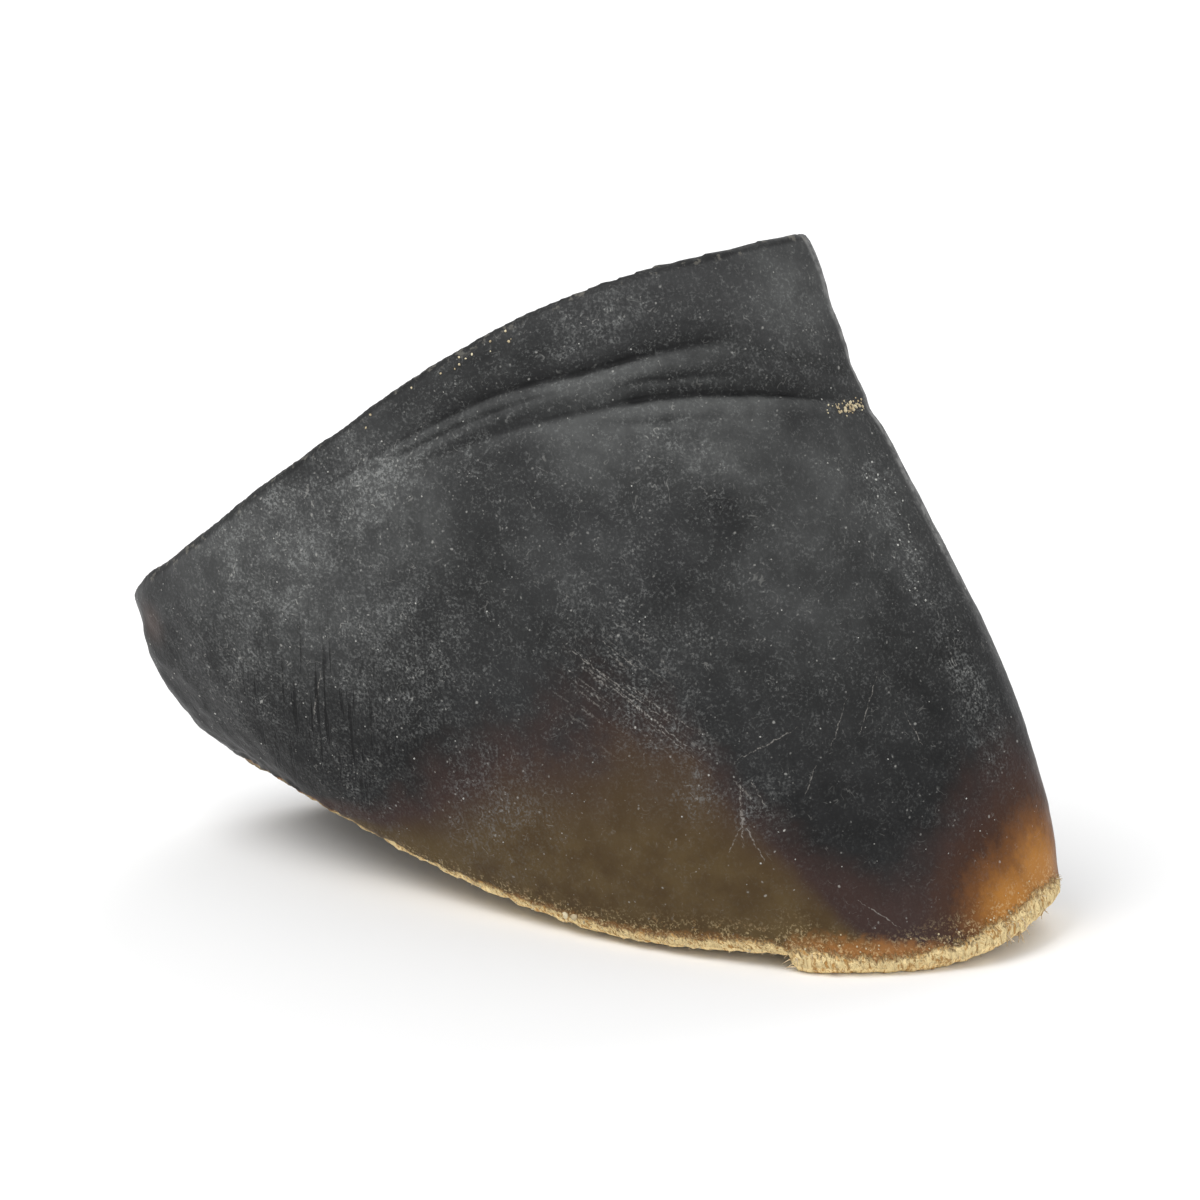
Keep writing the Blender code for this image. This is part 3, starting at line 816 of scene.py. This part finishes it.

        # Painted shade: less dust towards the ground edge.
        dusty = self.math("MAXIMUM", self.attribute("dusty"), self.lift(self.low, 0.09, 0.05))
        patches = self.times(inner_side, self.span(self.broad, 0.38, 0.62, 0.05, 0.50))
        dusty = self.math("MAXIMUM", dusty, patches)
        dusty = self.times(dusty, clean, self.span(self.patchy, 0.36, 0.64, 0.42, 1.45))
        powder = self.times(self.span(self.grain, 0.41, 0.66), self.span(self.mottle, 0.38, 0.62, 0.30, 0.95))
        streaks = self.times(self.span(self.strands, 0.52, 0.70), self.span(self.grain, 0.40, 0.60, 0.1, 0.7))
        film = self.math("MULTIPLY", dusty, self.math("MAXIMUM", powder, streaks), clamp=True)
        colour = self.blend(self.math("MULTIPLY", film, 0.85), colour, DUST_GREY)
        everywhere = self.span(self.grain, 0.52, 0.68)
        everywhere = self.times(everywhere, self.span(self.mottle, 0.42, 0.62, 0.1, 1.0))
        # Painted shade: the fine dust over the whole wall thins towards the ground edge.
        colour = self.blend(self.times(everywhere, self.lift(self.low, 0.23, 0.05)), colour, DUST_GREY)
        colour = self.blend(self.specks(dusty), colour, SPECK_GREY)
        colour = self.blend(self.hairs(dusty), colour, SPECK_GREY)
        return colour, self.math("MAXIMUM", film, haze_and_sheen)

    def specks(self, dusty):
        """Specks of three sizes, with ragged outlines, more of them where dust lies."""
        ragged = self.vector("ADD", self.place, self.vector("MULTIPLY", self.shake, (0.0004, 0.0004, 0.0004)))
        specks = 0.0
        for scale, size, base_share, dust_share, strength in SPECKS:
            share = self.lift(dusty, dust_share, base_share)
            grains = self.group(GROUPS["specks"], Place=ragged, Scale=scale, Size=size, Share=share)
            specks = self.math("MAXIMUM", specks, self.math("MULTIPLY", grains, strength))
        return specks

    def hairs(self, dusty):
        """Short curled hairs where a soft noise crosses its middle."""
        wool = self.noise(self.place, 430.0, 2.0, 0.5, 0.8)
        hair = self.span(self.math("ABSOLUTE", self.math("SUBTRACT", wool, 0.5)), 0.011, 0.004)
        hair = self.times(hair, self.span(self.noise(self.place, 800.0, 2.0), 0.56, 0.66))
        return self.math("MULTIPLY", hair, self.lift(dusty, 0.45, 0.08), clamp=True)

    def scratched(self, colour):
        """Single scratches and a scuffed patch of fine slanting lines."""
        bent = self.vector("ADD", self.place, self.vector("MULTIPLY", self.shake, (0.0005, 0.0, 0.0005)))
        flat = self.vector("MULTIPLY", bent, (1.0, 0.0, 1.0))
        lines = 0.0
        for from_x, from_z, to_x, to_z, width in SCRATCHES:
            start, end = (from_x, 0.0, from_z), (to_x, 0.0, to_z)
            line = self.group(GROUPS["scratch"], Place=flat, From=start, To=end, Width=width)
            lines = self.math("MAXIMUM", lines, line)
        lines = self.math("MULTIPLY", lines, 0.46)
        across = self.vector("DOT_PRODUCT", bent, (0.50, 0.0, 0.86))
        along = self.vector("DOT_PRODUCT", bent, (0.052, 0.0, -0.030))
        scuffs = self.span(self.noise(self.combine(across, along, 0.0), 2600.0, 1.0), 0.58, 0.68, 0.0, 0.34)
        lines = self.math("MAXIMUM", lines, self.times(scuffs, self.attribute("scuffed")))
        lines = self.times(lines, self.outer_side, self.span(self.grain, 0.42, 0.58, 0.10, 1.0))
        return self.blend(lines, colour, SCRATCH_GREY)

    def creases(self):
        """Sharp dark lines at the foot of the three main grooves."""
        crease = 0.0
        for name, _ in CRISP_GROOVES:
            away, strength, _ = self.parts(self.attribute(name, "Vector"))
            away = self.math("ABSOLUTE", self.math("ADD", away, self.lift(self.wide_lines, 0.0014, -0.0008)))
            crease = self.math("MAXIMUM", crease, self.times(self.span(away, 0.00042, 0.00008), strength))
        return self.times(crease, self.span(self.patchy, 0.35, 0.60, 1.0, 0.45))

    def wrinkles(self):
        """Fine upright wrinkles near the heel."""
        upright = self.combine(self.x, 0.0, self.math("MULTIPLY", self.z, 0.07))
        return self.times(self.span(self.noise(upright, 1700.0, 2.0), 0.43, 0.37), self.attribute("wrinkled"))

    def borders(self, colour):
        """The brown heel tip, the pale line on the ridge (pale dust with a painted rim highlight) and the
        dark, crusted rim.
        """
        colour = self.blend(self.attribute("heel_brown"), colour, HEEL_TIP_BROWN)
        # Painted highlight: a thin pale line along the sharp ridge, partly pale dust.
        line = self.span(self.attribute("ridge"), 0.15, 0.90)
        line = self.times(line, self.span(self.mottle, 0.38, 0.60, 0.25, 1.0))
        line = self.times(line, self.span(self.rise, 0.022, 0.046, 0.0, 0.62))
        colour = self.blend(line, colour, RIDGE_DUST_AND_HIGHLIGHT_GREY)
        colour = self.blend(self.span(self.drop, 0.0006, 0.0001, 0.0, 0.55), colour, BLACK)
        crust = self.span(self.drop, 0.0008, 0.0002)
        crust = self.times(crust, self.span(self.mottle, 0.56, 0.64, 0.0, 0.32))
        return self.blend(crust, colour, CRUST)


def wall_material():
    """Weathered black horn of the outside."""
    material, wall, shader = new_material("weathered_horn", WallSheet)
    colour = wall.clear_zones(wall.bare_horn())
    colour, edge = wall.pale_edge(colour)
    colour, dull = wall.weathering(colour)
    colour = wall.scratched(colour)
    creases, wrinkles = wall.creases(), wall.wrinkles()
    colour = wall.blend(wall.math("MULTIPLY", creases, 0.85), colour, BLACK)
    colour = wall.blend(wall.math("MULTIPLY", wrinkles, 0.8), colour, BLACK)
    wall.feed(shader.inputs["Base Color"], wall.borders(colour))
    rough = wall.math("ADD", wall.span(wall.patchy, 0.3, 0.7, 0.36, 0.48), wall.math("MULTIPLY", dull, 0.35))
    rough = wall.math("ADD", rough, wall.math("MULTIPLY", edge, 0.40), clamp=True)
    wall.feed(shader.inputs["Roughness"], rough)
    shader.inputs["Specular IOR Level"].default_value = HORN_SHEEN
    wall.bump(shader, (
        (wall.strands, 0.030), (wall.grain, 0.030), (wall.mottle, 0.090),
        (wall.wide_lines, wall.lift(wall.near_top, 0.24, 0.04)),
        (edge, wall.lift(wall.fibres, 0.80, 0.05)),
        (wrinkles, -0.10), (creases, -0.14),
    ))
    return material


def hollow_material():
    """The hollow: mottled brown with streaks of tan, darker towards the toe."""
    material, hollow, shader = new_material("hollow_horn", HornSheet)
    inward = hollow.attribute("inward")
    mottled = hollow.noise(hollow.place, 170.0, 4.0, 0.65, 0.6)
    papery = hollow.noise(hollow.place, 420.0, 4.0, 0.7, 1.2)
    lamella = hollow.math("SUBTRACT", hollow.noise(hollow.along_wall(STRAND_STRETCH), 1100.0, 3.0, 0.6), 0.5)
    lamella = hollow.times(lamella, hollow.span(inward, 0.0110, 0.0060))
    colour = hollow.blend(hollow.span(mottled, 0.40, 0.62), HOLLOW_BROWN, HOLLOW_TAN)
    colour = hollow.blend(hollow.span(lamella, 0.05, -0.10, 0.0, 0.55), colour, HOLLOW_DARK)
    colour = hollow.blend(hollow.span(papery, 0.44, 0.34, 0.0, 0.5), colour, HOLLOW_DARK)
    colour = hollow.blend(hollow.span(hollow.x, 0.000, 0.040, 0.0, 0.80), colour, HOLLOW_DARK)
    rust = hollow.times(hollow.attribute("hollow_rust"), hollow.span(mottled, 0.42, 0.60))
    colour = hollow.blend(rust, colour, HONEY)
    colour = hollow.blend(hollow.span(hollow.drop, 0.0012, 0.0004), colour, HOLLOW_DARK)
    rim = hollow.times(hollow.span(hollow.drop, 0.0026, 0.0008), hollow.span(inward, 0.0018, 0.0025))
    rim = hollow.times(rim, hollow.span(hollow.patchy, 0.40, 0.60, 0.05, 0.75))
    hollow.feed(shader.inputs["Base Color"], hollow.blend(rim, colour, HOLLOW_RIM))
    hollow.feed(shader.inputs["Roughness"], hollow.span(hollow.patchy, 0.3, 0.7, 0.76, 0.88))
    shader.inputs["Specular IOR Level"].default_value = HORN_SHEEN
    hollow.bump(shader, ((papery, 0.40), (lamella, 0.45), (hollow.mottle, 0.090)))
    return material


def sole_material():
    """The sole: flaky grey and beige, with a pale fibrous margin."""
    material, sole, shader = new_material("worn_sole", HornSheet)
    flakes = sole.noise(sole.place, 330.0, 5.0, 0.7, 0.8)
    fibres = sole.noise(sole.along_wall(FIBRE_STRETCH), 2100.0, 3.0, 0.7, 1.0)
    colour = sole.blend(sole.span(flakes, 0.38, 0.62), SOLE_GREY, SOLE_BEIGE)
    cracks = sole.cells(sole.place, 150.0, "DISTANCE_TO_EDGE").outputs[0]
    colour = sole.blend(sole.span(cracks, 0.04, 0.0, 0.0, 0.35), colour, SOLE_CRACK)
    colour = sole.blend(sole.span(sole.attribute("inward"), 0.0050, 0.0015), colour, sole.cream(fibres))
    colour = sole.blend(sole.span(sole.x, -0.012, -0.038, 0.0, 0.78), colour, SOLE_HEEL)
    sole.feed(shader.inputs["Base Color"], colour)
    sole.feed(shader.inputs["Roughness"], sole.span(sole.patchy, 0.3, 0.7, 0.76, 0.88))
    shader.inputs["Specular IOR Level"].default_value = HORN_SHEEN
    sole.bump(shader, ((flakes, 0.80), (sole.mottle, 0.090)))
    return material


def face_shares(mesh, values):
    """The mean of a vertex value over each face."""
    corners = np.zeros(len(mesh.loops), int)
    mesh.loops.foreach_get("vertex_index", corners)
    starts, counts = np.zeros(len(mesh.polygons), int), np.zeros(len(mesh.polygons), int)
    mesh.polygons.foreach_get("loop_start", starts)
    mesh.polygons.foreach_get("loop_total", counts)
    return np.add.reduceat(values[corners], starts) / counts


def finish_faces(horn, field):
    """Gives the outside, the hollow and the sole their own finishes."""
    for material in (wall_material(), hollow_material(), sole_material()):
        horn.data.materials.append(material)
    hollow = face_shares(horn.data, field["inner"]) > 0.5
    sole = face_shares(horn.data, field["underside"]) > 0.5
    finish = np.where(hollow, 1, np.where(sole, 2, 0))
    horn.data.polygons.foreach_set("material_index", finish)


def fibre_material():
    """Pale dry fibres."""
    material, sheet, shader = new_material("pale_fibre")
    place = sheet.node("ShaderNodeTexCoord").outputs["Object"]
    mixed = sheet.span(sheet.noise(place, 420.0, 3.0, 0.6), 0.35, 0.65)
    sheet.feed(shader.inputs["Base Color"], sheet.blend(mixed, *FIBRE_TONES))
    sheet.feed(shader.inputs["Roughness"], sheet.span(mixed, 0.0, 1.0, 0.70, 0.85))
    return material


def grain_material(name, tones):
    """Dry grains, mixed from a darker and a paler tone."""
    material, sheet, shader = new_material(name)
    place = sheet.node("ShaderNodeTexCoord").outputs["Object"]
    mixed = sheet.span(sheet.noise(place, 900.0, 2.0), 0.3, 0.7)
    sheet.feed(shader.inputs["Base Color"], sheet.blend(mixed, *tones))
    sheet.feed(shader.inputs["Roughness"], sheet.span(mixed, 0.0, 1.0, 0.80, 0.90))
    return material


def copy_at(master, matrix):
    """A copy with its own mesh, put in place."""
    twin = master.copy()
    twin.data = master.data.copy()
    bpy.context.scene.collection.objects.link(twin)
    twin.matrix_world = matrix
    return twin


def joined(pieces, name, material):
    """One mesh of many copies, with its places in the mesh."""
    bpy.ops.object.select_all(action="DESELECT")
    for piece in pieces:
        piece.select_set(True)
    bpy.context.view_layer.objects.active = pieces[0]
    bpy.ops.object.join()
    whole = bpy.context.active_object
    bpy.ops.object.transform_apply(location=True, rotation=True, scale=True)
    whole.name = whole.data.name = name
    whole.data.materials.clear()
    whole.data.materials.append(material)
    bpy.ops.object.shade_smooth()
    return whole


def turned(direction, normal, roll):
    """A turn that lays Z along a direction, with the bend towards the normal."""
    z = direction.normalized()
    x = (normal - z * normal.dot(z)).normalized()
    return Matrix((x, z.cross(x), z)).transposed().to_4x4() @ Matrix.Rotation(roll, 4, "Z")


def bent_fibre():
    """One fibre, a unit long: a five-sided disc drawn up in three tapering steps, then bent."""
    bpy.ops.object.select_all(action="DESELECT")
    bpy.ops.mesh.primitive_circle_add(vertices=5, radius=FIBRE_RADIUS, fill_type="NGON")
    fibre = bpy.context.active_object
    bpy.ops.object.mode_set(mode="EDIT")
    bpy.ops.mesh.select_all(action="SELECT")
    for step in range(FIBRE_STEPS):
        bpy.ops.mesh.extrude_region_move(TRANSFORM_OT_translate={"value": (0.0, 0.0, 1.0 / FIBRE_STEPS)})
        middle = (0.0, 0.0, (step + 1) / FIBRE_STEPS)
        bpy.ops.transform.resize(value=(FIBRE_TAPER, FIBRE_TAPER, 1.0), center_override=middle)
    bpy.ops.mesh.select_all(action="SELECT")
    bpy.ops.mesh.normals_make_consistent(inside=False)
    bpy.ops.object.mode_set(mode="OBJECT")
    curl = {"deform_method": "BEND", "deform_axis": "Y", "angle": FIBRE_CURL}
    apply_modifier(fibre, "dry curl", "SIMPLE_DEFORM", **curl)
    return fibre


def on_skin(horn, point):
    """The nearest place on the carved horn, and its outward direction."""
    _, place, normal, _ = horn.closest_point_on_mesh(point)
    return place, normal


def edge_fibres(horn, chance):
    """Frayed ends of horn tubules along the ground edge, thickest at the lip and the toe."""
    master = bent_fibre()
    copies = []
    for first, last, count, reach in FIBRE_ZONES:
        for _ in range(count):
            station = chance.uniform(first, last)
            point, normal = on_skin(horn, placed(station, chance.uniform(0.003, 0.030))[0])
            side = placed(station + 0.05, 0.01)[0] - placed(station, 0.01)[0]
            drop = placed(station, 0.0)[0] - placed(station, 0.1)[0]
            way = normal * chance.uniform(0.2, 0.9) + side.normalized() * chance.uniform(-0.9, 0.9)
            way += drop.normalized() * (chance.uniform(-0.1, 0.7) if reach < LONG_FIBRE else 1.6)
            length = reach * chance.uniform(0.35, 1.0)
            start = point - normal * FIBRE_ROOT
            if (start + way.normalized() * length).z < FLOOR_GAP:
                way.z = abs(way.z) * 0.3
            width = min(length, WIDEST_FIBRE)
            size = Matrix.Diagonal((width, width, length, 1.0))
            turn = turned(way, normal, chance.uniform(-2, 2))
            copies.append(copy_at(master, Matrix.Translation(start) @ turn @ size))
    bpy.data.objects.remove(master)
    return joined(copies, "edge_fibres", fibre_material())


def loose_grains(horn, chance, zones, name, material):
    """Loose grains in zones of the wall: stations, shares of its height, how many and how large."""
    bpy.ops.object.select_all(action="DESELECT")
    bpy.ops.mesh.primitive_ico_sphere_add(subdivisions=1, radius=1.0)
    master = bpy.context.active_object
    bpy.ops.object.mode_set(mode="EDIT")
    bpy.ops.mesh.select_all(action="SELECT")
    bpy.ops.transform.vertex_random(offset=GRAIN_ROUGHNESS, seed=SEED)
    bpy.ops.object.mode_set(mode="OBJECT")
    copies = []
    for first, last, low, high, count, reach in zones:
        for _ in range(count):
            point, normal = on_skin(horn, placed(chance.uniform(first, last), chance.uniform(low, high))[0])
            size = reach * chance.uniform(0.45, 1.25)
            squash = Matrix.Diagonal((size, size * chance.uniform(0.6, 1.3), size * 0.7, 1.0))
            rest = Matrix.Translation(point + normal * size * GRAIN_LIFT)
            turn = turned(normal, Vector((0.3, 0.1, 1.0)), chance.uniform(0, 6))
            copies.append(copy_at(master, rest @ turn @ squash))
    bpy.data.objects.remove(master)
    return joined(copies, name, material)


def pale_floor():
    """A wide pale floor, just under the hoof."""
    bpy.ops.object.select_all(action="DESELECT")
    bpy.ops.mesh.primitive_plane_add(size=FLOOR_SIZE, location=(0.0, 0.0, -FLOOR_DROP))
    floor = bpy.context.active_object
    floor.name = "studio_floor"
    material, sheet, shader = new_material("pale_floor")
    place = sheet.node("ShaderNodeTexCoord").outputs["Object"]
    tone = sheet.span(sheet.noise(place, 3.0, 2.0), 0.3, 0.7)
    sheet.feed(shader.inputs["Base Color"], sheet.blend(tone, *FLOOR_TONES))
    shader.inputs["Roughness"].default_value = FLOOR_ROUGHNESS
    floor.data.materials.append(material)


def studio_light():
    """Soft white light from the air and from three round lamps."""
    world = bpy.data.worlds.new("studio_air")
    world.use_nodes = True
    air = world.node_tree.nodes["Background"]
    air.inputs["Color"].default_value = WHITE
    air.inputs["Strength"].default_value = AIR_LIGHT
    bpy.context.scene.world = world
    for name, place, power in LAMPS:
        lamp = bpy.data.lights.new(name, "AREA")
        lamp.shape, lamp.size, lamp.energy = "DISK", LAMP_SIZE, power
        holder = bpy.data.objects.new(name, lamp)
        bpy.context.scene.collection.objects.link(holder)
        holder.location = place
        holder.rotation_euler = (LAMP_AIM - Vector(place)).to_track_quat("-Z", "Y").to_euler()


def studio_camera():
    """The camera at the photo's height and side, aimed at the hoof's middle."""
    lens = bpy.data.cameras.new("camera")
    lens.lens, lens.sensor_width = LENS, SENSOR
    lens.clip_start, lens.clip_end = NEAREST, FARTHEST
    camera = bpy.data.objects.new("camera", lens)
    bpy.context.scene.collection.objects.link(camera)
    level = math.cos(CAMERA_TILT)
    back = Vector((math.sin(CAMERA_TURN) * level, -math.cos(CAMERA_TURN) * level, math.sin(CAMERA_TILT)))
    camera.location = CAMERA_AIM + back * CAMERA_AWAY
    camera.rotation_euler = (-back).to_track_quat("-Z", "Y").to_euler()
    bpy.context.scene.camera = camera
    bpy.context.scene.view_settings.view_transform = "Standard"


def main():
    chance = random.Random(SEED)
    horn = copied_capsule()
    field = measure(horn)
    field["groove"], field["ledge"] = groove_marks(field)
    write_attributes(horn, field)
    carve(horn, field)
    finish_faces(horn, field)
    only(horn)
    bpy.ops.object.shade_smooth()
    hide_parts("hoof")
    grey, straw = grain_material("grey_dust", DUST_TONES), grain_material("straw_crumbs", CRUMB_TONES)
    dust = loose_grains(horn, chance, DUST_ZONES, "dust_grains", grey)
    crumbs = loose_grains(horn, chance, CRUMB_ZONES, "edge_crumbs", straw)
    for piece in (horn, edge_fibres(horn, chance), dust, crumbs):
        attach(piece, "root")
    pale_floor()
    studio_light()
    studio_camera()


main()
